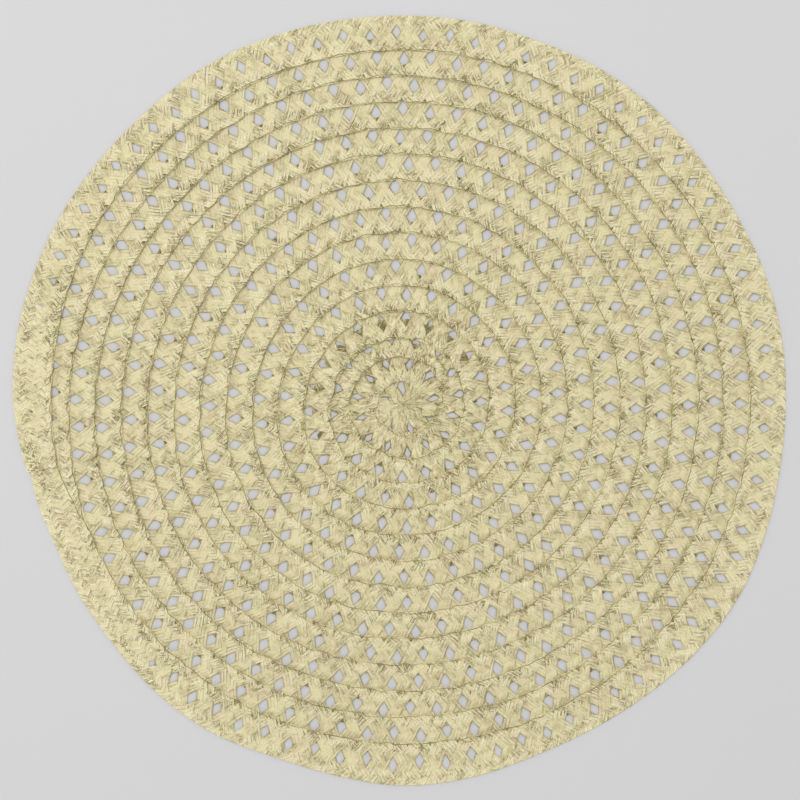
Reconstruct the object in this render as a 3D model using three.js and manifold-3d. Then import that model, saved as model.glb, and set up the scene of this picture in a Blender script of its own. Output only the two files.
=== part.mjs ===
import * as THREE from 'three';
import { mergeGeometries, mergeVertices } from 'three/addons/utils/BufferGeometryUtils.js';
import Module from 'manifold-3d';

// A round placemat coiled from one flat openwork paper braid, all lengths in mm.
// The braid starts in the middle and runs anticlockwise.
// Each turn lies on the edge of the turn inside it.

const BRAID_THICK = 1.1;
const BRAID_WIDTH = 18.5;
const ROW_PITCH = 12.9;
const LAP = BRAID_WIDTH - ROW_PITCH;
// A turn lies high over this share of its lap, at this share of the lap's rise, and then slopes down.
const HIGH_SHARE = 0.75;
const HIGH_RISE = 0.85;
const SEAM_STEP = 0.35;
const RIM_ROUND = 0.45;

// Angles along the braid, in degrees from its start.
const START_ANGLE = 257.8;
const SPOKES = 48;
const SPOKE_ANGLE = 360 / SPOKES;
const BRAID_ANGLE = 4972.5;
const TAIL_SLOPE = 0.5;

// The end of the braid draws in over the last turn but one.
const TAIL_ANGLE = 40;
const TAIL_DRAW = 5.2;

// The openings between the strips, every second one along the braid.
const HOLE_HALF_ALONG = 2.35;
const HOLE_HALF_ACROSS = 3.4;
const RIM_HOLE_HALF_ALONG = 1.75;
const RIM_HOLE_HALF_ACROSS = 3.0;
const HOLE_FROM_EDGE = 7.9;
const FIRST_HOLE = 50;
const HOLE_EVERY = 2;
// The strips are packed closed on both sides of the end of the braid.
const CLOSED_BEFORE_END = 24;
const CLOSED_AFTER_END = 32;
// The count of openings passed at every half turn, with the last two places beyond the end of the braid.
const COUNTS = [
  -2.6, 1.9, 8.3, 16.0, 24.4, 34.4, 45.9, 59.2, 73.8, 89.6, 106.9, 126.0, 146.5, 168.8, 192.2,
  217.0, 242.7, 270.3, 299.2, 329.8, 361.2, 394.7, 429.3, 465.9, 503.7, 543.3, 584.5, 627.8, 671.9, 716.8,
];
// The small opening in the middle of the mat.
const EYE_HALF = 2.3;
const EYE_OFF = 7.6;

// The rim's distance from the centre of the coil, every ten degrees anticlockwise from the right.
const RIM = [
  189.2, 190.1, 190.2, 189.6, 190.5, 191.9, 192.1, 191.4, 192.0, 192.0, 192.3, 192.9,
  193.3, 192.3, 192.2, 192.9, 193.4, 193.5, 192.3, 188.6, 185.5, 185.6, 185.8, 187.5,
  187.6, 185.5, 186.4, 188.4, 187.5, 185.6, 185.8, 187.5, 189.8, 191.3, 190.2, 189.1,
];
const RIM_AFTER_END = 186.9;

// How far the innermost turns lie outside an even coil, every sixty degrees from the start.
const BULGE = [0, 0, 1.7, 4.7, 3.6, 2.2, 1.3, 0.6, 2.1, 3.6, 3.6, 2.3, 0.7, 0.9, 0.8, 0];

const PAPER = new THREE.MeshStandardMaterial({ color: 0xcec6a0, roughness: 0.78, metalness: 0 });

function radians(degrees) {
  return degrees * Math.PI / 180;
}

// A smooth curve through evenly spaced values.
function smoothCurve(valueAt, place) {
  const i = Math.floor(place);
  const t = place - i;
  const p = [-1, 0, 1, 2].map((k) => valueAt(i + k));
  const slope = (p[2] - p[0]) / 2;
  const nextSlope = (p[3] - p[1]) / 2;
  const rise = p[2] - p[1];
  const bend = 3 * rise - 2 * slope - nextSlope;
  const turn = slope + nextSlope - 2 * rise;
  return p[1] + slope * t + bend * t * t + turn * t * t * t;
}

// The value of a list at a place, or of the end that the place lies beyond.
function within(list, i) {
  return list[Math.min(Math.max(i, 0), list.length - 1)];
}

// The distance of a turn's inner edge from the centre of the coil.
function seamRadius(along) {
  const radius = ROW_PITCH * along / 360;
  const fade = Math.min(1, radius / 40);
  const a = radians(along + START_ANGLE);
  const oval = 0.6 * Math.sin(2 * a) + 0.08 * Math.cos(2 * a);
  const lobes = 0.13 * Math.cos(3 * a) - 0.56 * Math.sin(3 * a);
  const drawn = Math.max(0, (along - BRAID_ANGLE + TAIL_ANGLE) / TAIL_ANGLE);
  const bulge = smoothCurve((i) => within(BULGE, i), along / 60);
  return radius + fade * (oval + lobes) + bulge - TAIL_DRAW * drawn;
}

// The rim's distance from the centre, smooth between the measured places.
function rimRadius(along) {
  if (along <= BRAID_ANGLE - 360 + 2) {
    return RIM_AFTER_END;
  }
  const place = (((along + START_ANGLE) % 360) + 360) % 360 / 10;
  return smoothCurve((i) => RIM[(i + 36) % 36], place);
}

// How much of a turn's inner edge lies on the turn inside it.
function lapWidth(along) {
  return along < 360 ? LAP : seamRadius(along - 360) + BRAID_WIDTH - seamRadius(along);
}

// The height of a turn's top face at a distance from its inner edge.
// The turn shows over the width given, up to the next turn or the rim.
function topHeight(along, across, shown) {
  const rise = BRAID_THICK * Math.min(1, along / 300);
  const high = Math.min(HIGH_SHARE * lapWidth(along), 0.6 * shown);
  if (across <= high) {
    return BRAID_THICK + rise * (1 - (1 - HIGH_RISE) * across / high);
  }
  return BRAID_THICK + rise * HIGH_RISE * Math.max(0, shown - across) / (shown - high);
}

// The angles of the spokes that carry the points, the same in every turn.
function spokeAngles() {
  const list = [];
  const endSpoke = Math.round(BRAID_ANGLE / SPOKE_ANGLE) % SPOKES;
  for (let i = 0; i * SPOKE_ANGLE <= BRAID_ANGLE; i += 1) {
    if (i > 0 && i % SPOKES === endSpoke) {
      list.push(i * SPOKE_ANGLE - TAIL_SLOPE);
    }
    list.push(i * SPOKE_ANGLE);
  }
  return list;
}

function coiledSolid() {
  const angles = spokeAngles();
  const perTurn = SPOKES + 1;
  const end = angles.length - 1;
  const wrap = end - perTurn;
  const points = [];
  const faces = [];

  function addPoint(along, radius, z) {
    const a = radians(along + START_ANGLE);
    points.push([radius * Math.cos(a), radius * Math.sin(a), z, radius]);
    return points.length - 1;
  }

  function addFace(a, b, c) {
    if (a !== b && b !== c && c !== a) {
      faces.push(a, b, c);
    }
  }

  // Joins two lines of points that run outward on neighbouring spokes.
  function zip(first, second) {
    let i = 0;
    let j = 0;
    while (i < first.length - 1 || j < second.length - 1) {
      const nextFirst = i < first.length - 1 ? points[first[i + 1]][3] : Infinity;
      const nextSecond = j < second.length - 1 ? points[second[j + 1]][3] : Infinity;
      if (nextFirst <= nextSecond) {
        addFace(first[i], first[i + 1], second[j]);
        i += 1;
      } else {
        addFace(first[i], second[j + 1], second[j]);
        j += 1;
      }
    }
  }

  // Joins two lines with the same number of points.
  function ribbon(first, second) {
    for (let k = 0; k < first.length - 1; k += 1) {
      addFace(first[k], first[k + 1], second[k + 1]);
      addFace(first[k], second[k + 1], second[k]);
    }
  }

  const centre = addPoint(0, 0, BRAID_THICK);
  const under = addPoint(0, 0, 0);
  const seamLow = [centre];
  const seamHigh = [centre];
  const middle = [];
  const rim = [];

  function gapAt(i) {
    const inner = seamRadius(angles[i]);
    if (i + perTurn <= end) {
      return seamRadius(angles[i + perTurn]) - SEAM_STEP - inner;
    }
    return rimRadius(angles[i]) - RIM_ROUND - inner;
  }

  for (let i = 0; i <= end; i += 1) {
    const along = angles[i];
    const radius = seamRadius(along);
    if (i > 0 && i < end) {
      seamLow.push(addPoint(along, radius - Math.min(SEAM_STEP, radius / 3), BRAID_THICK));
      seamHigh.push(addPoint(along, radius, topHeight(along, 0, gapAt(i))));
    }
    if (i < end) {
      const high = Math.min(HIGH_SHARE * lapWidth(along), 0.6 * gapAt(i));
      middle.push(addPoint(along, radius + high, topHeight(along, high, gapAt(i))));
    }
    if (i >= wrap && i < end) {
      const outer = rimRadius(along);
      rim[i] = [
        addPoint(along, outer - RIM_ROUND, BRAID_THICK),
        addPoint(along, outer, BRAID_THICK / 2),
        addPoint(along, outer - RIM_ROUND / 2, 0),
      ];
    }
  }

  // At its end the last turn comes down onto the turn inside it.
  const lastSeam = addPoint(angles[end], seamRadius(angles[end]), BRAID_THICK * 1.1);
  const lastMiddle = addPoint(angles[end], seamRadius(angles[end]) + 7, BRAID_THICK);
  seamLow[end] = lastSeam;
  seamHigh[end] = lastSeam;
  middle[end] = lastMiddle;
  rim[end] = rim[wrap];

  function outwardFrom(i, after) {
    const inner = i < 0 ? [centre] : [seamHigh[i], middle[i]];
    if (i === 0) {
      inner[0] = centre;
    }
    if (i === wrap && after) {
      return [...inner, lastSeam, lastMiddle, rim[wrap][0]];
    }
    if (i + perTurn <= end) {
      return [...inner, seamLow[i + perTurn]];
    }
    return [...inner, rim[i][0]];
  }

  for (let i = -perTurn; i < end; i += 1) {
    const from = outwardFrom(i, true);
    const to = i + 1 === 0 ? [centre, middle[0], seamLow[perTurn]] : outwardFrom(i + 1, false);
    zip(from, to);
    if (i >= 0) {
      ribbon([seamLow[i], seamHigh[i]], [seamLow[i + 1], seamHigh[i + 1]]);
    }
  }

  for (let i = wrap; i < end; i += 1) {
    ribbon(rim[i], rim[i + 1]);
    addFace(rim[i][2], under, rim[i + 1][2]);
  }

  const geometry = new THREE.BufferGeometry();
  const flat = points.flatMap((p) => [p[0], p[1], p[2]]);
  geometry.setAttribute('position', new THREE.Float32BufferAttribute(flat, 3));
  geometry.setIndex(faces);
  return geometry;
}

// One rhombic opening as an upright prism through the mat.
function openingPrism(along, radius, halfAlong, halfAcross) {
  const outline = new THREE.Shape();
  outline.moveTo(halfAcross, 0);
  outline.lineTo(0, halfAlong);
  outline.lineTo(-halfAcross, 0);
  outline.lineTo(0, -halfAlong);
  const prism = new THREE.ExtrudeGeometry(outline, { depth: 6, bevelEnabled: false });
  const a = radians(along + START_ANGLE);
  prism.translate(0, 0, -1.5);
  prism.rotateZ(a);
  prism.translate(radius * Math.cos(a), radius * Math.sin(a), 0);
  return prism;
}

// Walks along the braid and puts an opening wherever the count passes a wanted number.
function openings() {
  const prisms = [];
  const step = 0.1;
  let next = FIRST_HOLE;
  for (let along = 0; along < BRAID_ANGLE; along += step) {
    if (smoothCurve((i) => within(COUNTS, i), along / 180) >= next) {
      const inRim = along > BRAID_ANGLE - 360;
      const closedBefore = along > BRAID_ANGLE - CLOSED_BEFORE_END;
      const closedAfter = inRim && along < BRAID_ANGLE - 360 + CLOSED_AFTER_END;
      if (!closedBefore && !closedAfter) {
        const halfAlong = inRim ? RIM_HOLE_HALF_ALONG : HOLE_HALF_ALONG;
        const halfAcross = inRim ? RIM_HOLE_HALF_ACROSS : HOLE_HALF_ACROSS;
        prisms.push(openingPrism(along, seamRadius(along) + HOLE_FROM_EDGE, halfAlong, halfAcross));
      }
      next += HOLE_EVERY;
    }
  }
  prisms.push(openingPrism(90 - START_ANGLE, EYE_OFF, EYE_HALF, EYE_HALF));
  return mergeGeometries(prisms);
}

const wasm = await Module();
wasm.setup();

function toManifold(geometry) {
  geometry.deleteAttribute('normal');
  geometry.deleteAttribute('uv');
  const merged = mergeVertices(geometry, 1e-5);
  const vertProperties = new Float32Array(merged.attributes.position.array);
  const triVerts = new Uint32Array(merged.index.array);
  return new wasm.Manifold(new wasm.Mesh({ numProp: 3, vertProperties, triVerts }));
}

const solid = toManifold(coiledSolid()).subtract(toManifold(openings()));
const mesh = solid.getMesh();
const braid = new THREE.BufferGeometry();
braid.setAttribute('position', new THREE.Float32BufferAttribute(mesh.vertProperties, 3));
braid.setIndex(Array.from(mesh.triVerts));

// The middle of the outline comes to the origin.
braid.computeBoundingBox();
const middleOfBox = braid.boundingBox.getCenter(new THREE.Vector3());
braid.translate(-middleOfBox.x, -middleOfBox.y, 0);
braid.computeVertexNormals();

const mat = new THREE.Mesh(braid, PAPER);
mat.name = 'braid_mat';

const part = new THREE.Group();
part.name = 'placemat';
part.add(mat);

export default part;
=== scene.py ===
import bpy
import math
import numpy as np
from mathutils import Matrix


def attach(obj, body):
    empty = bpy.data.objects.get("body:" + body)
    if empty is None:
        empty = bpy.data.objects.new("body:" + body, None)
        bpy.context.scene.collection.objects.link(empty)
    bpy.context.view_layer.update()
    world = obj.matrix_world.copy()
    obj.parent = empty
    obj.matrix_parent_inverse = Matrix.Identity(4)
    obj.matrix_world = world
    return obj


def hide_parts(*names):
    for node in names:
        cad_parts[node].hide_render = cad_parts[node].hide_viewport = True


# A round placemat coiled from a flat openwork paper braid, sewn turn on turn.
# Lengths are in millimetres and become metres where a mesh is made.
# Along is the winding in degrees, across is the distance outward from a turn's inner edge,
# and a count is the number of openings passed on the way along the braid.

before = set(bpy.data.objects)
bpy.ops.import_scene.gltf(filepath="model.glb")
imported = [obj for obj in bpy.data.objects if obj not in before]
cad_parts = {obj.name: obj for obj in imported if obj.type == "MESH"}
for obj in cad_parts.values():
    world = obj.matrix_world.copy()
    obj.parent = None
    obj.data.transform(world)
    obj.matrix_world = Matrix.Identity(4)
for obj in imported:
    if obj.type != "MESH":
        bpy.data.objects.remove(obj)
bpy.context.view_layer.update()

coil = {
    "centre": (1.6327, -1.8313),  # the middle of the coil from the middle of the mat
    "width": 18.5,
    "pitch": 12.9,
    "thick": 0.92,
    "startAngle": 257.8,  # degrees anticlockwise from the right
    "startAlong": -300.0,  # the braid starts gathered in the middle
    "endAlong": 4972.5,
    "step": 0.25,  # degrees between the places where curves along the braid are worked out
    "oval": (0.6, 0.08),  # the coil's two waves, as sizes of a sine and a cosine
    "lobes": (-0.56, 0.13),
    "fullWaves": 40,  # the radius from which the waves have their full size
    "ripple": 0.3,
    "rippleLengths": (31.0, 47.0),
    "tailAngle": 40.0,  # the end of the braid draws in over this angle
    "tailDraw": 5.2,
    "openingPitch": 13.1,  # the usual distance between two openings
    "rimAfterEnd": 186.9,  # the rim's distance from the coil's middle just below the end of the braid
    "rimSettles": 9,  # degrees past the end of the braid over which the rim comes out
    "rimBegins": 6,  # degrees before that over which the rim takes up the width of its row
    # the rim's distance from the coil's middle, every ten degrees from the right
    "rimEvery": 10,
    "rim": [
        189.2, 190.1, 190.2, 189.6, 190.5, 191.9, 192.1, 191.4, 192.0, 192.0, 192.3, 192.9,
        193.3, 192.3, 192.2, 192.9, 193.4, 193.5, 192.3, 188.6, 185.5, 185.6, 185.8, 187.5,
        187.6, 185.5, 186.4, 188.4, 187.5, 185.6, 185.8, 187.5, 189.8, 191.3, 190.2, 189.1,
    ],
    # the innermost turns' inner edge, every 30 degrees of winding from 0
    "innerEvery": 30,
    "innerSeam": [
        0.0, 0.5, 1.6, 0.6, 1.5, 4.0, 11.2, 11.6, 12.0, 12.5, 13.2, 13.8, 14.1, 14.5, 15.6, 17.2,
        19.3, 22.1, 23.2, 24.3, 24.6, 26.1, 26.4, 25.9, 26.4, 27.4, 28.7, 30.0, 31.7, 32.4, 33.0,
    ],
    "evenFrom": (780, 900),  # between these the innermost turns give way to the even coil
    # openings counted at every half turn of winding from -360
    "countedFrom": -360,
    "countedEvery": 180,
    "openings": [
        -7.6, -5.2, -2.6, 1.9, 8.3, 16.0, 24.4, 34.4, 45.9, 59.2, 73.8, 89.6, 106.9, 126.0, 146.5, 168.8,
        192.2, 217.0, 242.7, 270.3, 299.2, 329.8, 361.2, 394.7, 429.3, 465.9, 503.7, 543.3, 584.5, 627.8,
        671.9, 716.8,
    ],
}
rimStart = coil["endAlong"] - 360

# the start of the braid is gathered in the middle of the mat
gathered = {
    "narrower": 8.5,
    "narrowBefore": (-160, -250),
    "reach": 6.3,  # the first row reaches in to the middle before its edge draws out
    "reachAt": 143,
    "reachWide": 25,
    # how far the middle of the row spreads outward, every 60 degrees from the start of the braid
    "spreadEvery": 60,
    "spreadUntil": 300,
    "spread": [0, -1.6, -2.6, 0.4, 2.2, 3.6, 4.8, 5.5, 0, 0.4, 0],
}

# a turn lies high over most of its lap on the turn inside it, and then slopes down
lapped = {
    "least": 3,
    "most": 9,
    "highShare": 0.7,
    "slopeAfter": 2.6,
    "sinks": 0.02,  # share of the height lost for each millimetre across
    "sewnDown": 0.12,
    "sewnAt": 0.9,
    "begins": (40, 130),  # between these the first turn rises onto the start of the braid
}


def smoothTable(values, place):
    # a smooth curve through evenly spaced values
    values = np.array(values, float)
    last = len(values) - 1
    place = np.clip(place, 0, last)
    i = np.minimum(np.floor(place).astype(int), last - 1)
    t = place - i
    before, here, after, beyond = (values[np.clip(i + k, 0, last)] for k in (-1, 0, 1, 2))
    slope = (after - before) / 2
    nextSlope = (beyond - here) / 2
    rise = after - here
    bend = 3 * rise - 2 * slope - nextSlope
    turn = slope + nextSlope - 2 * rise
    return here + slope * t + bend * t**2 + turn * t**3


def share(value, start, full):
    # 0 up to the start, 1 from full on, and even in between
    return np.clip((value - start) / (full - start), 0, 1)


def bump(value, middle, wide):
    return np.exp(-(((value - middle) / wide) ** 2))


def smoothNoise(rng, t, size, rows=4):
    # waves of chance lengths and places, the shorter ones smaller
    value = np.zeros_like(t)
    for k in range(rows):
        closeness = 0.6 + 1.7 * k + rng.random()
        begin = rng.random() * 6.283
        value += np.sin(t * closeness / size + begin) / (1 + 0.5 * k)
    return value / rows


def seamRadius(along):
    # the distance of a turn's inner edge from the middle of the coil
    along = np.asarray(along, float)
    radius = coil["pitch"] * np.maximum(along, 0.0) / 360
    a = np.radians(along + coil["startAngle"])
    oval = coil["oval"][0] * np.sin(2 * a) + coil["oval"][1] * np.cos(2 * a)
    lobes = coil["lobes"][0] * np.sin(3 * a) + coil["lobes"][1] * np.cos(3 * a)
    waves = np.minimum(1, radius / coil["fullWaves"]) * (oval + lobes)
    drawn = coil["tailDraw"] * share(along, coil["endAlong"] - coil["tailAngle"], coil["endAlong"])
    first, second = coil["rippleLengths"]
    ripple = coil["ripple"] * np.sin(along / first) * np.sin(along / second + 1)
    even = radius + waves - drawn + ripple
    inner = smoothTable(coil["innerSeam"], np.maximum(along, 0) / coil["innerEvery"])
    return inner + (even - inner) * share(along, *coil["evenFrom"])


def rimRadius(along):
    place = ((along + coil["startAngle"]) % 360) / coil["rimEvery"]
    curve = smoothTable(coil["rim"][-2:] + coil["rim"] + coil["rim"][:3], place + 2)
    # the rim closes in below the end of the braid
    settled = share(along, rimStart, rimStart + coil["rimSettles"])
    return coil["rimAfterEnd"] + (curve - coil["rimAfterEnd"]) * settled


def inOuterTurn(along):
    return share(along, rimStart - coil["rimBegins"], rimStart)


def rowWidth(along):
    narrower = gathered["narrower"] * share(along, *gathered["narrowBefore"])
    reach = gathered["reach"] * bump(along, gathered["reachAt"], gathered["reachWide"])
    plain = coil["width"] - narrower + reach
    return plain + (rimRadius(along) - seamRadius(along) - plain) * inOuterTurn(along)


def midShift(along):
    place = (np.minimum(along, gathered["spreadUntil"]) - coil["startAlong"]) / gathered["spreadEvery"]
    return smoothTable(gathered["spread"], place)


def baseHeight(along, across):
    # how high the braid lies where it laps the turn inside it
    lap = seamRadius(along - 360) + coil["width"] - seamRadius(along)
    lap = np.clip(lap, lapped["least"], lapped["most"])
    begun = share(along, *lapped["begins"])
    t = share(across, lapped["highShare"] * lap, lap + lapped["slopeAfter"])
    sewnDown = lapped["sewnDown"] * bump(across, lapped["sewnAt"], lapped["sewnAt"]) * begun
    return coil["thick"] * begun * (1 - t * t * (3 - 2 * t)) * (1 - lapped["sinks"] * across) - sewnDown


def onMat(along, across):
    a = np.radians(along + coil["startAngle"])
    radius = seamRadius(along) + across
    return coil["centre"][0] + radius * np.cos(a), coil["centre"][1] + radius * np.sin(a)


windings = np.arange(coil["startAlong"], coil["endAlong"] + coil["step"], coil["step"])
counts = smoothTable(coil["openings"], (windings - coil["countedFrom"]) / coil["countedEvery"])
firstCount, lastCount = float(counts[0]), float(counts[-1])
print("openings counted from", round(firstCount, 1), "to", round(lastCount, 1))


def alongAt(count):
    return np.interp(count, counts, windings)


def pitchAt(count, across):
    # millimetres between two openings at a distance from the inner edge
    before = np.maximum(count - 0.5, firstCount)
    after = np.minimum(count + 0.5, lastCount)
    turn = (alongAt(after) - alongAt(before)) / np.clip(after - before, 0.2, 1)
    return (seamRadius(alongAt(count)) + across) * np.radians(turn)


# Nine strips zigzag between the edges of the braid in two groups, with the openings between the groups.
# A leg is a strip's way from one edge to the other, and tau counts the legs.
# U is the place across the braid, 0 at its inner edge and 1 at its outer edge.
strips = {
    "wide": 1.5,  # across a strip
    "thick": 0.32,
    "lift": 0.2,  # how far a strip lies above or below the middle of the braid
    # strips in a group, their spacing along the braid, and a leg that starts at the inner edge
    "groups": [(5, 1.89, 1), (4, 1.7, 0)],
    "columns": 13,  # a strip crosses others at 12 places between the edges, over two and under two
    "nearFold": 0.017,  # the place of the sections beside a fold
    "edgeSpread": 0.3,
    "rimSpread": 0.3,
    "steeper": 0.26,  # in the middle of the braid
    "slant": 54.7,  # degrees between a strip and the braid
    "edgeOut": 0.35,  # the braid's edge lies inside the line of the seam
    "midIn": 0.25,  # the middle of the row lies this far inward
    "foldWide": (0.9, 1.05),  # at the inner and outer edge
    "closedWider": 0.62,
    "squeeze": 0.45,  # how much of the openings' closeness narrows the strips
    "squeezeWithin": (0.05, 1.6),
    "leastPitch": 1.0,
    "fromStart": 0.02,  # no section lies nearer than this to the start or the end of the braid
    "fromEnd": 0.004,
    "legTilt": 0.012,
    "tilt": 0.035,
    "tiltLength": 0.06,
    "tiltArm": 0.8,
    "waviness": 0.03,
    "waveLength": 0.35,
    "widthNoise": 0.06,
    "widthLength": 0.8,
    "ridgeNoise": 0.35,
    "ridgeLength": 0.5,
    "sideways": 0.012,
    "sidewaysLength": 0.6,
    "creasedLegs": 0.035,
    "creaseUp": 0.05,
    "creaseNarrows": 0.2,
    "lowest": 0.01,
    "pieces": 4,
    "overlap": 0.1,  # a piece runs this far into the next one
    "beforeFirst": 3,  # and the first and last pieces take in what lies beyond the ends
    "afterLast": 2,
    "smoothUpTo": 32,
    "seed": 8,
}
stripTotal = sum(number for number, _, _ in strips["groups"])

# how far the strips are packed together, where 1 leaves no opening
packed = {
    "end": 0.79,
    "beforeEnd": (34, 24),  # degrees before the end of the braid
    "afterEnd": (-7, -3),  # degrees from the end on the outermost turn
    "afterEndUntil": (40, 32),
    "rim": 0.12,
    "rimFull": 10,
    "steepStart": 1.7,
    "startAt": -3.75,
    "eye": 0.95,  # the opening in the middle of the mat stays open
    "steepEye": 1.6,
    "eyeAt": -5,
    "firstTurns": 0.24,
    "firstTurnsUntil": (700, 300),
}

# what the material is told of each strip
shown = {
    "openingShade": 0.75,  # painted shade on the paper at the edge of an opening
    "openingPeak": (1.6, 3.4),  # its strength in the middle of the row, and how fast it fades to the edges
    "openingClosed": (0.3, 0.7),
    "openingInner": 0.7,
    "openingInnerUntil": (900, 400),
    "legTone": 0.03,
    "creaseTone": 0.08,
    # painted shade in the crevice under the next turn's edge, seen where its notches leave the turn inside
    # bare
    "paintedUnderLapShade": 0.85,
    "coveredFrom": 0.4,  # past the inner edge of the next turn
    "coveredFull": 0.8,
    "noNextTurn": 99,
    "edgeFrom": (0.2, 0.6),
    "edgeClosed": 0.4,
    "edgeRim": 0.6,
    "edgeRimFrom": 0.8,
    "edgeInner": 0.4,
    "edgeInnerUntil": (900, 300),
    "uvLength": 10,  # millimetres along a strip for one unit
    "uvApart": 2,  # from strip to strip, each one unit wide
}


def peakAt(count, middle, steep):
    # 1 around the middle, and down to 0 where the count is one away
    return np.clip(steep - steep * np.abs(count - middle), 0, 1)


def closing(count):
    # the strips are packed closed on both sides of the end of the braid, and closer in the rim
    along = alongAt(count)
    end = share(along, *(coil["endAlong"] - angle for angle in packed["beforeEnd"]))
    afterEnd = share(along, *(rimStart + angle for angle in packed["afterEnd"]))
    afterEnd = afterEnd * share(along, *(rimStart + angle for angle in packed["afterEndUntil"]))
    rim = packed["rim"] * share(along, rimStart, rimStart + packed["rimFull"])
    start = peakAt(count, packed["startAt"], packed["steepStart"])
    eye = packed["eye"] * peakAt(count, packed["eyeAt"], packed["steepEye"])
    firstTurns = packed["firstTurns"] * share(along, *packed["firstTurnsUntil"])
    outer = np.maximum(np.maximum(end, afterEnd) * packed["end"], rim)
    return np.maximum(outer, np.maximum(start, firstTurns) - eye)


def layerAt(u, rising):
    # the bands along the braid where the strips that run outward lie on top, and those where they lie below
    column = np.clip(np.round(u * strips["columns"]), 1, strips["columns"] - 1)
    band = np.floor((column - 1) / 2)
    return np.where(band % 2 == 0, 1.0, -1.0) * np.where(rising, 1.0, -1.0)


def foldNormals(isFold, rising, height):
    # a strip's upper side turns over at each fold, and there it faces inward or outward
    up = np.where(rising, 1.0, -1.0)
    out = np.zeros(len(up))
    folds = np.nonzero(isFold)[0]
    folds = folds[(folds > 0) & (folds < len(up) - 1)]
    up[folds] = 0
    out[folds] = np.where(height[folds + 1] >= height[folds - 1], -1.0, 1.0)
    return up, out


def stripLooks(u, closed, inRim, along, across):
    # how near an opening the strip is, how far its edges and creases show, and where the next turn covers it
    fromMiddle = np.abs(2 * u - 1)
    peak, fall = shown["openingPeak"]
    # where the painted shade at the openings' edges falls, stronger in the first turns
    besideOpening = np.clip(peak - fall * fromMiddle, 0, 1) * (1 - share(closed, *shown["openingClosed"]))
    besideOpening *= 1 + shown["openingInner"] * share(along, *shown["openingInnerUntil"])
    edgeShow = share(fromMiddle, *shown["edgeFrom"]) + shown["edgeClosed"] * closed
    edgeShow *= 1 - shown["edgeRim"] * inRim * (u > shown["edgeRimFrom"])
    edgeShow *= 1 - shown["edgeInner"] * share(along, *shown["edgeInnerUntil"])
    # where the next turn covers the strip, for the painted shade under its edge
    rowOut = seamRadius(along + 360) - seamRadius(along)
    nextTurn = np.where(along + 360 < coil["endAlong"], rowOut, shown["noNextTurn"])
    covered = share(across, nextTurn + shown["coveredFrom"], nextTurn + shown["coveredFull"])
    return besideOpening, edgeShow, covered


def stripSections(group, k, rng):
    number, spacing, turnAt = strips["groups"][group]
    fromMiddle = k - (number - 1) / 2
    legs = np.arange(math.floor(firstCount) - 1, int(lastCount) + 2)
    crossings = np.arange(1, strips["columns"]) / strips["columns"]
    places = np.concatenate([[0.0, strips["nearFold"]], crossings, [1 - strips["nearFold"]]])
    tau = (legs[:, None] + places[None, :]).ravel()
    v = np.tile(places, len(legs))

    def perLeg(values):
        return np.repeat(values, len(places))

    rising = perLeg((legs - turnAt) % 2 == 0)
    u = np.where(rising, v, 1 - v)
    closed = closing(tau)
    inRim = inOuterTurn(alongAt(tau)) * (u > 0.5)
    spread = 1 + (strips["edgeSpread"] + strips["rimSpread"] * inRim) * np.abs(2 * u - 1) ** 3
    bent = u - strips["steeper"] / (2 * math.pi) * np.sin(2 * math.pi * u)
    openOffset = fromMiddle * spacing / coil["openingPitch"]
    evenOffset = fromMiddle * 2 / stripTotal
    count = tau + openOffset * spread * (1 - closed) + evenOffset * closed
    along = alongAt(np.clip(count, firstCount, lastCount))
    bow = (midShift(along) - strips["midIn"]) * 4 * u * (1 - u)
    across = bent * rowWidth(along) + bow - strips["edgeOut"] * (1 - u)

    isFold = v == 0
    layer = layerAt(u, rising)
    layer[isFold] = 0
    legNoise = rng.normal(size=len(legs) + 2)
    tilt = perLeg(legNoise[: len(legs)]) * strips["legTilt"]
    tilt += strips["tilt"] * smoothNoise(rng, tau, strips["tiltLength"])
    crease = perLeg((rng.random(len(legs)) < strips["creasedLegs"]).astype(float))
    height = baseHeight(along, across) + strips["lift"] * (1 + layer) + strips["thick"] / 2
    height += strips["waviness"] * smoothNoise(rng, tau, strips["waveLength"])
    height += strips["creaseUp"] * crease
    half = strips["wide"] / 2 * (1 + strips["widthNoise"] * smoothNoise(rng, tau, strips["widthLength"]))
    half *= 1 - strips["creaseNarrows"] * crease
    halfAlong = half / math.sin(math.radians(strips["slant"])) * (1 + strips["closedWider"] * closed) * spread
    innerFold, outerFold = strips["foldWide"]
    halfAlong[isFold] *= np.where(u[isFold] > 0.5, outerFold, innerFold)
    local = pitchAt(count, across)
    squeeze = np.clip(local / coil["openingPitch"], *strips["squeezeWithin"]) ** strips["squeeze"]
    normalUp, normalOut = foldNormals(isFold, rising, height)
    besideOpening, edgeShow, covered = stripLooks(u, closed, inRim, along, across)
    ridge = strips["ridgeNoise"] * smoothNoise(rng, tau, strips["ridgeLength"])
    count = count + strips["sideways"] * smoothNoise(rng, tau, strips["sidewaysLength"])
    # random tone per leg, less the painted shade where the next turn covers the strip
    toneAndShade = shown["legTone"] * perLeg(legNoise[1 : len(legs) + 1]) - shown["paintedUnderLapShade"] * covered
    inside = (count >= firstCount + strips["fromStart"]) & (count <= lastCount - strips["fromEnd"])
    return {
        "strip": group * strips["groups"][0][0] + k,
        # which corners of a section lie beside an opening
        "openSides": (float(k == 0), 0.0, float(k == number - 1), 0.0),
        "inside": inside,
        "tau": tau,
        "count": count,
        "halfCount": halfAlong * squeeze / np.maximum(local, strips["leastPitch"]),
        "across": across,
        "height": height,
        "tilt": tilt,
        "ridge": ridge,
        "normalUp": normalUp,
        "normalOut": normalOut,
        "toneAndShade": toneAndShade + shown["creaseTone"] * crease,
        "besideOpening": besideOpening,
        "edgeShow": edgeShow,
    }


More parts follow.
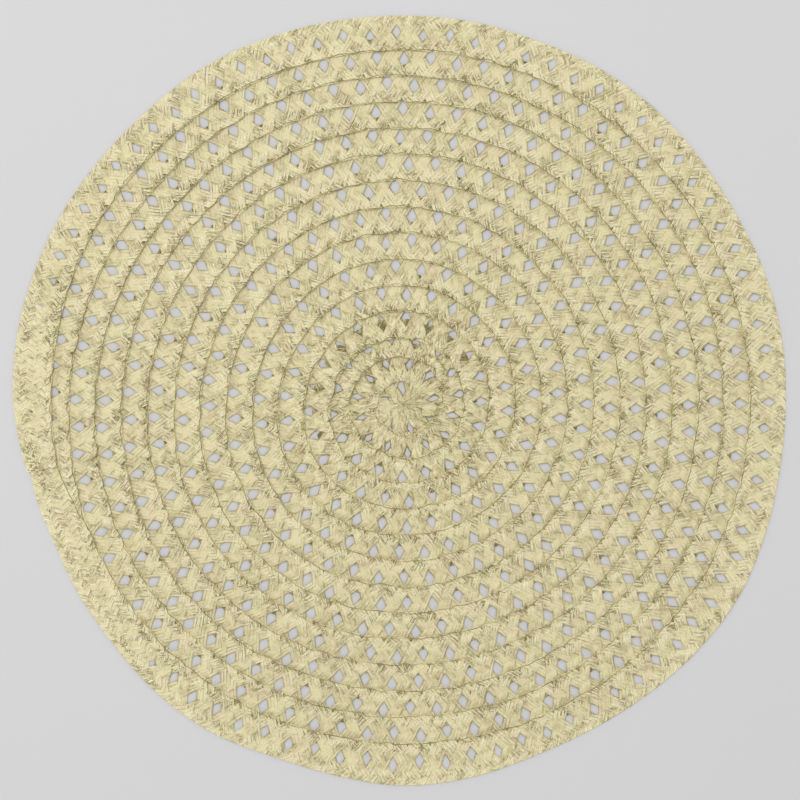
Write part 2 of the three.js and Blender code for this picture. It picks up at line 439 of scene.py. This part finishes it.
def sectionPoints(s):
    # the four corners of every section: its two edges, and the ridges between them above and below
    thick = strips["thick"] / 2
    corners = []
    for side, up in ((-1, 0), (0, 1), (1, 0), (0, -1)):
        count = s["count"] + s["halfCount"] * (side if up == 0 else s["ridge"])
        along = alongAt(np.clip(count, firstCount, lastCount))
        across = s["across"] + up * thick * s["normalOut"]
        x, y = onMat(along, across)
        z = s["height"] + up * thick * s["normalUp"] + side * s["tilt"] * strips["tiltArm"]
        corners.append(np.stack([x, y, np.maximum(z, strips["lowest"])], axis=-1))
    return np.stack(corners, axis=1)


def meshFromArrays(name, points, quads, uv=None, looks=()):
    mesh = bpy.data.meshes.new(name)
    mesh.vertices.add(len(points))
    mesh.vertices.foreach_set("co", (points / 1000).astype(np.float32).ravel())
    mesh.loops.add(quads.size)
    mesh.loops.foreach_set("vertex_index", quads.astype(np.int32).ravel())
    mesh.polygons.add(len(quads))
    mesh.polygons.foreach_set("loop_start", np.arange(0, quads.size, quads.shape[1], dtype=np.int32))
    if uv is not None:
        layer = mesh.uv_layers.new(name="alongStrip")
        layer.data.foreach_set("uv", uv[quads.ravel()].astype(np.float32).ravel())
    for lookName, values in looks:
        attribute = mesh.attributes.new(lookName, "FLOAT", "POINT")
        attribute.data.foreach_set("value", values.astype(np.float32))
    mesh.update(calc_edges=True)
    mesh.validate()
    piece = bpy.data.objects.new(name, mesh)
    bpy.context.scene.collection.objects.link(piece)
    return piece


def facingOut(points, quads):
    # turns the faces over where they enclose a negative volume
    a, b, c, d = (points[quads[:, i]] for i in range(4))
    volumes = np.einsum("ij,ij->i", a, np.cross(b, c)) + np.einsum("ij,ij->i", a, np.cross(c, d))
    return quads if volumes.sum() >= 0 else quads[:, ::-1]


def tubeQuads(rows, sides, start):
    i = np.arange(rows - 1)[:, None] * sides + start
    k = np.arange(sides)[None, :]
    n = (k + 1) % sides
    return np.stack([i + k, i + n, i + sides + n, i + sides + k], axis=-1).reshape(-1, 4)


def closedTube(rows, start):
    # a tube of four sides with both ends closed
    last = start + (rows - 1) * 4
    ends = np.array([[start + 3, start + 2, start + 1, start], [last, last + 1, last + 2, last + 3]])
    return np.concatenate([tubeQuads(rows, 4, start), ends])


def stripTube(s, p):
    # the part of a strip that lies in one piece of the braid, which runs a little into the next piece
    low = cuts[p] - (strips["beforeFirst"] if p == 0 else 0)
    high = cuts[p + 1] + strips["overlap"] + (strips["afterLast"] if p == strips["pieces"] - 1 else 0)
    index = np.nonzero(s["inside"] & (s["tau"] >= low) & (s["tau"] <= high))[0]
    index = np.arange(index[0], index[-1] + 1)
    corners = sectionPoints(s)[index]
    steps = np.linalg.norm(np.diff(corners.mean(axis=1), axis=0), axis=1)
    lengths = np.concatenate([[0], np.cumsum(steps)])
    # painted shade on the corners beside the openings
    shade = shown["openingShade"] * np.outer(s["besideOpening"][index], s["openSides"])
    return {
        "corners": corners,
        "u": np.array([0.0, 0.5, 1.0, 0.5]) + shown["uvApart"] * s["strip"],
        "v": lengths / shown["uvLength"],
        "toneAndShade": s["toneAndShade"][index][:, None] - shade,
        "edgeShow": s["edgeShow"][index],
        "length": lengths[-1],
    }


# thin ragged ends of strips lie on the end of the braid
looseEnds = {
    "number": 17,
    "beforeEnd": (0.5, 3.6),
    "across": (3, 14.5),
    "turns": (-0.5, 0.25, 1.1),  # radians from the right
    "turnNoise": 0.3,
    "curl": 0.7,
    "length": (3, 7),
    "rows": 6,
    "halfWide": 0.2,
    "halfThick": 0.07,
    "height": 1.45,
    "arch": 0.6,
    "tones": (-0.5, 0.7, 0.7),
    "uvFrom": 40,
}


def looseTube(rng, number):
    along = coil["endAlong"] - rng.uniform(*looseEnds["beforeEnd"])
    x, y = onMat(along, rng.uniform(*looseEnds["across"]))
    turn = rng.choice(looseEnds["turns"]) + rng.uniform(-looseEnds["turnNoise"], looseEnds["turnNoise"])
    length = rng.uniform(*looseEnds["length"])
    t = np.linspace(0, 1, looseEnds["rows"])
    curl = turn + rng.uniform(-looseEnds["curl"], looseEnds["curl"]) * t
    middle = np.stack([
        x + np.cos(curl) * length * (t - 0.5),
        y + np.sin(curl) * length * (t - 0.5),
        looseEnds["height"] + looseEnds["arch"] * t * (1 - t),
    ], axis=-1)
    side = np.stack([-np.sin(curl), np.cos(curl), 0 * t], axis=-1) * looseEnds["halfWide"]
    up = np.array([0, 0, looseEnds["halfThick"]])
    return {
        "corners": np.stack([middle - side, middle + up, middle + side, middle - up], axis=1),
        "u": np.array([0.2, 0.5, 0.8, 0.5]) + looseEnds["uvFrom"] + shown["uvApart"] * number,
        "v": t * length / shown["uvLength"],
        "toneAndShade": np.full((looseEnds["rows"], 4), looseEnds["tones"][number % 3]),
        "edgeShow": np.zeros(looseEnds["rows"]),
    }


def braidPiece(p):
    tubes = [stripTube(s, p) for s in allStrips]
    stripMetres = sum(tube["length"] for tube in tubes) / 1000
    if p == strips["pieces"] - 1:
        tubes += [looseTube(rng, i) for i in range(looseEnds["number"])]
    rows = [len(tube["corners"]) for tube in tubes]
    starts = np.cumsum([0] + rows) * 4
    points = np.concatenate([tube["corners"].reshape(-1, 3) for tube in tubes])
    quads = facingOut(points, np.concatenate([closedTube(*each) for each in zip(rows, starts)]))
    uv = np.stack([
        np.concatenate([np.tile(tube["u"], len(tube["v"])) for tube in tubes]),
        np.concatenate([np.repeat(tube["v"], 4) for tube in tubes]),
    ], axis=-1)
    # the paper's own tone together with its painted shades, and how far its edges show
    looks = (
        ("paperToneAndShade", np.concatenate([tube["toneAndShade"].ravel() for tube in tubes])),
        ("edgeShow", np.concatenate([np.repeat(tube["edgeShow"], 4) for tube in tubes])),
    )
    piece = meshFromArrays(f"paper_braid_{p + 1}", points, quads, uv, looks)
    print(piece.name, "triangles", 2 * len(quads), "strip", round(stripMetres, 2), "m")
    return piece, stripMetres


rng = np.random.default_rng(strips["seed"])
allStrips = []
for group, (number, _, _) in enumerate(strips["groups"]):
    allStrips += [stripSections(group, k, rng) for k in range(number)]
print("strips laid out:", len(allStrips))

cuts = np.linspace(firstCount, lastCount, strips["pieces"] + 1)
braidPieces = [braidPiece(p) for p in range(strips["pieces"])]

paper = {
    # the darkest colour, which the painted shade of creases, gaps and pits reaches
    "crease": (0.26, 0.21, 0.08, 1),
    "dark": (0.50, 0.43, 0.222, 1),
    "plain": (0.70, 0.62, 0.357, 1),
    "light": (0.92, 0.86, 0.59, 1),
    "darkAt": 0.3,
    "plainAt": 0.58,
    "roughness": 0.6,
    "specular": 0.4,
    "bump": 0.5,
    "bumpDeep": 0.0006,
    "creaseWide": 0.12,
    "creaseDarkAt": 0.25,  # shares of that width
    "creaseLightAt": 0.55,
    "creaseLight": 0.72,
    # noises along the strips: fineness for a strip's width and for a centimetre of it, detail, distortion
    "pleats": ((2.4, 2.8, 1), 4, 0.6),
    "folds": ((1.5, 1.3, 1), 3, 1.3),
    "stretches": ((0.9, 1.1, 1), 2),
    # noises on the mat: fineness for a metre, detail, distortion
    "crumple": (520, 3, 0.8),
    "specks": (1500, 2),
    "blotches": (24, 3),
    "patches": (150, 2),
    "tints": (95, 2),
    # where each of them starts to show and shows in full
    "patchesShow": (0.42, 0.6),
    "foldsShow": (-0.6, 1.0),
    "stretchesShow": (0.44, 0.6),
    # painted highlight and painted shade along the strips' edges
    "glintAt": (0.7, 0.82),  # places across a strip
    "gapAt": (0.28, 0.08),
    "gapShadeShows": (-0.12, 1.0),
    # painted highlight flecks and painted shade pits near the strips' edges
    "fleckGlintAt": (0.6, 0.7),
    "pitShadeAt": (0.4, 0.3),
    "tintFrom": (0.35, 0.65),
    "tint": (0.494, 0.506),  # a hue of 0.5 leaves the colour as it is
    # pleats that run out from the middle of the mat, painted in shade with a little highlight, with distances
    # in metres
    "outward": (1.0, 3, 0.9),
    "outwardPleats": 10,
    "outwardLength": 110.0,
    "outwardBegins": (0.001, 0.014),
    "outwardEnds": (0.085, 0.03),
    "base": 0.87,
    "range": (0.65, 2.45),
    "weights": {
        "pleats": 0.5, "crumple": 0.35, "specks": 0.8, "blotches": 0.3, "toneAndShade": 1.0, "crease": 3.1,
        "glint": 1.35, "gap": -1.0, "gathered": 1.0, "fleckGlint": 1.1, "pitShade": -0.7, "edgeShow": 0.1,
    },
}


def newMaterial(name):
    material = bpy.data.materials.new(name)
    material.use_nodes = True
    return material, material.node_tree, material.node_tree.nodes["Principled BSDF"]


def noiseOn(tree, vector, scale, detail, distortion=0.0, roughness=0.6):
    if isinstance(scale, tuple):
        stretch = tree.nodes.new("ShaderNodeMapping")
        stretch.inputs["Scale"].default_value = scale
        tree.links.new(vector, stretch.inputs["Vector"])
        vector = stretch.outputs["Vector"]
        scale = 1.0
    noise = tree.nodes.new("ShaderNodeTexNoise")
    noise.inputs["Scale"].default_value = scale
    noise.inputs["Detail"].default_value = detail
    noise.inputs["Roughness"].default_value = roughness
    noise.inputs["Distortion"].default_value = distortion
    tree.links.new(vector, noise.inputs["Vector"])
    return noise.outputs["Fac"]


def mathOn(tree, operation, *values):
    node = tree.nodes.new("ShaderNodeMath")
    node.operation = operation
    for socket, value in zip(node.inputs, values):
        if isinstance(value, (int, float)):
            socket.default_value = value
        else:
            tree.links.new(value, socket)
    return node.outputs[0]


def product(tree, first, *others):
    for other in others:
        first = mathOn(tree, "MULTIPLY", first, other)
    return first


def rangeOn(tree, value, low, high, toLow=0.0, toHigh=1.0):
    node = tree.nodes.new("ShaderNodeMapRange")
    node.inputs["From Min"].default_value = low
    node.inputs["From Max"].default_value = high
    node.inputs["To Min"].default_value = toLow
    node.inputs["To Max"].default_value = toHigh
    tree.links.new(value, node.inputs["Value"])
    return node.outputs["Result"]


def attributeOn(tree, name):
    node = tree.nodes.new("ShaderNodeAttribute")
    node.attribute_name = name
    return node.outputs["Fac"]


def rampOn(tree, value, stops):
    ramp = tree.nodes.new("ShaderNodeValToRGB")
    elements = ramp.color_ramp.elements
    elements[0].position, elements[0].color = stops[0]
    elements[1].position, elements[1].color = stops[-1]
    for position, colour in stops[1:-1]:
        elements.new(position).color = colour
    tree.links.new(value, ramp.inputs["Fac"])
    return ramp.outputs["Color"]


def bumpOn(tree, shader, height, strength, deep):
    node = tree.nodes.new("ShaderNodeBump")
    node.inputs["Strength"].default_value = strength
    node.inputs["Distance"].default_value = deep
    tree.links.new(height, node.inputs["Height"])
    tree.links.new(node.outputs["Normal"], shader.inputs["Normal"])


def grey(value):
    return (value, value, value, 1)


def creaseShadeAndLight(tree, value):
    # painted shade around the middle of a noise, a little painted highlight just above it, and nothing
    # elsewhere
    wide = paper["creaseWide"]
    stops = [
        (0.5 - wide, grey(0.5)),
        (0.5 - wide * paper["creaseDarkAt"], grey(0)),
        (0.5 + wide * paper["creaseLightAt"], grey(paper["creaseLight"])),
        (0.5 + wide, grey(0.5)),
    ]
    return mathOn(tree, "SUBTRACT", rampOn(tree, value, stops), 0.5)


def vectorMath(tree, operation, vector):
    node = tree.nodes.new("ShaderNodeVectorMath")
    node.operation = operation
    tree.links.new(vector, node.inputs[0])
    return node


def pleatsFromMiddle(tree, onPiece):
    fromCoil = tree.nodes.new("ShaderNodeMapping")
    fromCoil.inputs["Location"].default_value = (-coil["centre"][0] / 1000, -coil["centre"][1] / 1000, 0)
    tree.links.new(onPiece, fromCoil.inputs["Vector"])
    length = vectorMath(tree, "LENGTH", fromCoil.outputs["Vector"]).outputs["Value"]
    around = vectorMath(tree, "NORMALIZE", fromCoil.outputs["Vector"]).outputs["Vector"]
    rise = tree.nodes.new("ShaderNodeCombineXYZ")
    tree.links.new(mathOn(tree, "MULTIPLY", length, paper["outwardLength"]), rise.inputs["Z"])
    outward = vectorMath(tree, "MULTIPLY_ADD", around)
    outward.inputs[1].default_value = (paper["outwardPleats"], paper["outwardPleats"], 0)
    tree.links.new(rise.outputs["Vector"], outward.inputs[2])
    # the pleats are painted as shade with a little highlight
    pleats = creaseShadeAndLight(tree, noiseOn(tree, outward.outputs["Vector"], *paper["outward"]))
    ends = rangeOn(tree, length, *paper["outwardEnds"])
    begins = rangeOn(tree, length, *paper["outwardBegins"])
    return product(tree, pleats, ends, begins)


def paintedCreasesOn(tree, onStrip, onPiece, edgeShow):
    # thin creases along the strips, painted in shade on one side and in highlight on the other
    folds = creaseShadeAndLight(tree, noiseOn(tree, onStrip, *paper["folds"]))
    patches = rangeOn(tree, noiseOn(tree, onPiece, *paper["patches"]), *paper["patchesShow"])
    return product(tree, folds, patches, rangeOn(tree, edgeShow, *paper["foldsShow"]))


def stripEdges(tree, onStrip, edgeShow):
    # here and there a strip's edges carry painted shade on one side and a painted highlight on the other
    parts = tree.nodes.new("ShaderNodeSeparateXYZ")
    tree.links.new(onStrip, parts.inputs["Vector"])
    acrossStrip = mathOn(tree, "FRACT", parts.outputs["X"])
    stretches = rangeOn(tree, noiseOn(tree, onStrip, *paper["stretches"]), *paper["stretchesShow"])
    stretches = product(tree, stretches, edgeShow)
    glint = product(tree, rangeOn(tree, acrossStrip, *paper["glintAt"]), stretches)
    gapShadeShows = rangeOn(tree, stretches, *paper["gapShadeShows"])
    gap = product(tree, rangeOn(tree, acrossStrip, *paper["gapAt"]), gapShadeShows)
    return glint, gap


def paperMaterial():
    material, tree, shader = newMaterial("creamPaper")
    uvMap = tree.nodes.new("ShaderNodeUVMap")
    uvMap.uv_map = "alongStrip"
    onStrip = uvMap.outputs["UV"]
    onPiece = tree.nodes.new("ShaderNodeTexCoord").outputs["Object"]
    edgeShow = attributeOn(tree, "edgeShow")
    specks = noiseOn(tree, onPiece, *paper["specks"])
    glint, gap = stripEdges(tree, onStrip, edgeShow)
    parts = {
        "pleats": noiseOn(tree, onStrip, *paper["pleats"]),
        "crumple": noiseOn(tree, onPiece, *paper["crumple"]),
        "specks": specks,
        "blotches": noiseOn(tree, onPiece, *paper["blotches"]),
        "toneAndShade": attributeOn(tree, "paperToneAndShade"),
        "crease": paintedCreasesOn(tree, onStrip, onPiece, edgeShow),
        "glint": glint,
        "gap": gap,
        "gathered": pleatsFromMiddle(tree, onPiece),
        # painted highlight flecks and painted shade pits beside the strips' edges
        "fleckGlint": product(tree, rangeOn(tree, specks, *paper["fleckGlintAt"]), edgeShow),
        "pitShade": product(tree, rangeOn(tree, specks, *paper["pitShadeAt"]), edgeShow),
        "edgeShow": edgeShow,
    }
    total = paper["base"]
    for name, weight in paper["weights"].items():
        total = mathOn(tree, "MULTIPLY_ADD", parts[name], weight, total)
    colour = rampOn(tree, rangeOn(tree, total, *paper["range"]), [
        (0.0, paper["crease"]),
        (paper["darkAt"], paper["dark"]),
        (paper["plainAt"], paper["plain"]),
        (1.0, paper["light"]),
    ])
    # patches of the paper are a little greener or browner
    tint = tree.nodes.new("ShaderNodeHueSaturation")
    hue = rangeOn(tree, noiseOn(tree, onPiece, *paper["tints"]), *paper["tintFrom"], *paper["tint"])
    tree.links.new(hue, tint.inputs["Hue"])
    tree.links.new(colour, tint.inputs["Color"])
    tree.links.new(tint.outputs["Color"], shader.inputs["Base Color"])
    bumpOn(tree, shader, total, paper["bump"], paper["bumpDeep"])
    shader.inputs["Roughness"].default_value = paper["roughness"]
    shader.inputs["Specular IOR Level"].default_value = paper["specular"]
    return material


creamPaper = paperMaterial()
for piece, stripMetres in braidPieces:
    piece.data.materials.append(creamPaper)
    bpy.ops.object.select_all(action="DESELECT")
    piece.select_set(True)
    bpy.context.view_layer.objects.active = piece
    bpy.ops.object.shade_smooth_by_angle(angle=math.radians(strips["smoothUpTo"]))
    piece.select_set(False)
    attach(piece, "root")
    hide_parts("braid_mat")

thread = {
    "radius": 0.17,
    "sides": 5,
    "above": 0.1,  # the middle of the thread over the top of the braid
    "fromEdge": 0.1,
    "startAlong": 300.0,
    "afterEnd": 12.0,  # degrees the stitching runs on beyond the end of the braid
    "comesDown": 1.5,  # degrees over which it then comes down to the turn inside
    "step": 1.0,
    "stitch": 3.9,
    "stitchNoise": 0.8,
    "spare": 20,  # millimetres of stitches beyond the end of the thread
    "dip": 0.3,
    "dipWide": 0.14,  # as a share of a stitch
    "kink": 0.4,
    "kinkierBefore": 1100,
    "kinkierOver": 400,
    "kinkiest": 1.2,
    "wander": 0.3,
    "wanderLength": 9.0,
    "wanderRows": 6,
    "colour": (0.74, 0.64, 0.24, 1),
    "shade": (0.19, 0.15, 0.02, 1),
    "colourAt": 0.65,
    "shadeAt": 0.44,
    "twist": (170, 4),
    "twistRoughness": 0.5,
    # painted light and shade across the thread, lighter outward and darker toward the inner turn
    "outwardLight": 0.36,
    "roughness": 0.55,
    "bump": 0.4,
    "bumpDeep": 0.0002,
    "seed": 21,
}

# stitches gather the braid in the middle of the mat
gathers = {
    "turns": [12, 48, 128, 165, 212, 262, 318],  # degrees from the right
    "from": 1.5,
    "reach": 11.0,
    "reachNoise": (-3, 1),
    "bend": 14,
    "bends": 3,
    "bendNoise": 5,
    "height": 1.74,
    "wave": 0.12,
    "waves": 9,
    "points": 9,
    "thinner": 0.8,
}


def threadTube(path, radius):
    ahead = np.gradient(path, axis=0)
    ahead /= np.linalg.norm(ahead, axis=1)[:, None]
    side = np.cross(ahead, [0, 0, 1.0])
    side /= np.linalg.norm(side, axis=1)[:, None]
    up = np.cross(side, ahead)
    cos, sin = (wave[None, :, None] for wave in (np.cos(threadTurns), np.sin(threadTurns)))
    return path[:, None] + radius * (cos * side[:, None] + sin * up[:, None])


def aroundCoil(angle, radius, height):
    # points at angles from the right and at distances from the middle of the coil
    x = coil["centre"][0] + radius * np.cos(angle)
    y = coil["centre"][1] + radius * np.sin(angle)
    return np.stack([x, y, height], axis=-1)


def seamPath(rng):
    end = coil["endAlong"]
    sewn = np.arange(thread["startAlong"], end + thread["afterEnd"], coil["step"])
    # beyond the end of the braid the stitching draws over to the seam inside it
    beyond = share(sewn, end, end + thread["afterEnd"])
    sewnRadius = seamRadius(np.minimum(sewn, end)) * (1 - beyond) + seamRadius(sewn - 360) * beyond
    walk = np.concatenate([[0.0], np.cumsum(sewnRadius[1:] * math.radians(coil["step"]))])
    places = np.arange(0, walk[-1], thread["step"])
    along = np.interp(places, walk, sewn)
    stitches = np.arange(0, places[-1] + thread["spare"], thread["stitch"])
    shifts = rng.uniform(-thread["stitchNoise"], thread["stitchNoise"], len(stitches))
    kinks = np.interp(places, stitches + shifts, rng.normal(size=len(stitches)))
    kinkier = np.clip((thread["kinkierBefore"] - along) / thread["kinkierOver"], 0, thread["kinkiest"])
    across = thread["fromEdge"] + thread["kink"] * (1 + kinkier) * kinks
    across += thread["wander"] * smoothNoise(rng, places, thread["wanderLength"], thread["wanderRows"])
    above = coil["thick"] + thread["above"]
    height = baseHeight(np.minimum(along, end), np.maximum(across, 0.0)) + above
    height -= thread["dip"] * bump((places % thread["stitch"]) / thread["stitch"], 0.5, thread["dipWide"])
    radius = np.interp(along, sewn, sewnRadius) + across
    onInner = baseHeight(along - 360, radius - seamRadius(along - 360)) + above
    height += (onInner - height) * share(along, end, end + thread["comesDown"])
    print("seam thread length", round((places[-1] - places[0]) / 1000, 2), "m")
    return aroundCoil(np.radians(along + coil["startAngle"]), radius, height)


def gatherPath(turn, rng):
    # the number of the turn is also where its bends and waves begin, so that no two are alike
    t = np.linspace(0, 1, gathers["points"])
    bend = gathers["bend"] * np.sin(gathers["bends"] * t + turn)
    bend += gathers["bendNoise"] * rng.normal(size=len(t))
    radius = gathers["from"] + (gathers["reach"] + rng.uniform(*gathers["reachNoise"])) * t
    height = gathers["height"] + gathers["wave"] * np.sin(gathers["waves"] * t + turn)
    return aroundCoil(np.radians(turn + bend), radius, height)


rngThread = np.random.default_rng(thread["seed"])
threadTurns = np.arange(thread["sides"]) * 2 * math.pi / thread["sides"]
tubes = [threadTube(seamPath(rngThread), thread["radius"])]
for turn in gathers["turns"]:
    tubes.append(threadTube(gatherPath(turn, rngThread), thread["radius"] * gathers["thinner"]))
points = np.concatenate([tube.reshape(-1, 3) for tube in tubes])
starts = np.cumsum([0] + [len(tube) for tube in tubes]) * thread["sides"]
quads = [tubeQuads(len(tube), thread["sides"], start) for tube, start in zip(tubes, starts)]
quads = facingOut(points, np.concatenate(quads))
outwardSide = np.tile((1 + np.cos(threadTurns)) / 2, len(points) // thread["sides"])
seamThread = meshFromArrays("seam_thread", points, quads, looks=(("outwardSide", outwardSide),))
print("seam thread triangles", 2 * len(quads))


def threadMaterial():
    material, tree, shader = newMaterial("oliveThread")
    onPiece = tree.nodes.new("ShaderNodeTexCoord").outputs["Object"]
    twist = noiseOn(tree, onPiece, *thread["twist"], roughness=thread["twistRoughness"])
    # painted shade: the thread is darker on the side of the inner turn
    light = thread["outwardLight"]
    side = mathOn(tree, "MULTIPLY_ADD", attributeOn(tree, "outwardSide"), light, -light / 2)
    colour = rampOn(tree, mathOn(tree, "ADD", side, twist), [
        (thread["shadeAt"], thread["shade"]),
        (thread["colourAt"], thread["colour"]),
    ])
    tree.links.new(colour, shader.inputs["Base Color"])
    bumpOn(tree, shader, twist, thread["bump"], thread["bumpDeep"])
    shader.inputs["Roughness"].default_value = thread["roughness"]
    return material


seamThread.data.materials.append(threadMaterial())
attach(seamThread, "root")
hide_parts("braid_mat")

view = {
    "shownWidth": 0.3948,  # metres of mat across the picture
    "middle": (0.00025, 0.00025),
    "lens": 85.0,
    "clipStart": 0.01,
    "heightOfMat": 0.0018,
    "floor": (0.635, 0.63, 0.635, 1),
    "floorSize": 6,
    "floorDown": 0.0001,  # below the mat, so that the two don't flicker
    "floorRoughness": 0.8,
    "skyLight": 0.35,
}
# place, size and power
lights = {
    "keyLight": ((-0.35, 0.4, 1.75), 1.2, 19.0),
    "rightLight": ((1.7, 0.7, 0.62), 1.0, 7.5),
    "frontLight": ((0.6, -1.8, 0.62), 1.0, 7.5),
    "leftLight": ((-1.8, -0.6, 0.62), 1.0, 7.5),
    "backLight": ((-0.7, 1.8, 0.62), 1.0, 7.5),
}


def softLight(name, place, size, power):
    bpy.ops.object.light_add(type="AREA", location=place)
    light = bpy.context.active_object
    light.name = name
    light.data.size = size
    light.data.energy = power
    light.rotation_euler = (-light.location).to_track_quat("-Z", "Y").to_euler()


bpy.ops.object.camera_add(rotation=(0, 0, 0))
camera = bpy.context.active_object
camera.data.lens = view["lens"]
halfAngle = math.atan(camera.data.sensor_width / 2 / view["lens"])
camera.location = (*view["middle"], view["heightOfMat"] + view["shownWidth"] / 2 / math.tan(halfAngle))
camera.data.clip_start = view["clipStart"]
bpy.context.scene.camera = camera

bpy.ops.mesh.primitive_plane_add(size=view["floorSize"], location=(0, 0, -view["floorDown"]))
floor = bpy.context.active_object
floor.name = "table_top"
floorMaterial, _, floorShader = newMaterial("paleTop")
floorShader.inputs["Base Color"].default_value = view["floor"]
floorShader.inputs["Roughness"].default_value = view["floorRoughness"]
floor.data.materials.append(floorMaterial)

world = bpy.data.worlds.new("softRoom")
bpy.context.scene.world = world
world.use_nodes = True
sky = world.node_tree.nodes["Background"]
sky.inputs["Color"].default_value = (1, 1, 1, 1)
sky.inputs["Strength"].default_value = view["skyLight"]
for name, (place, size, power) in lights.items():
    softLight(name, place, size, power)
bpy.context.scene.view_settings.view_transform = "Standard"
print("camera, floor and lights placed")
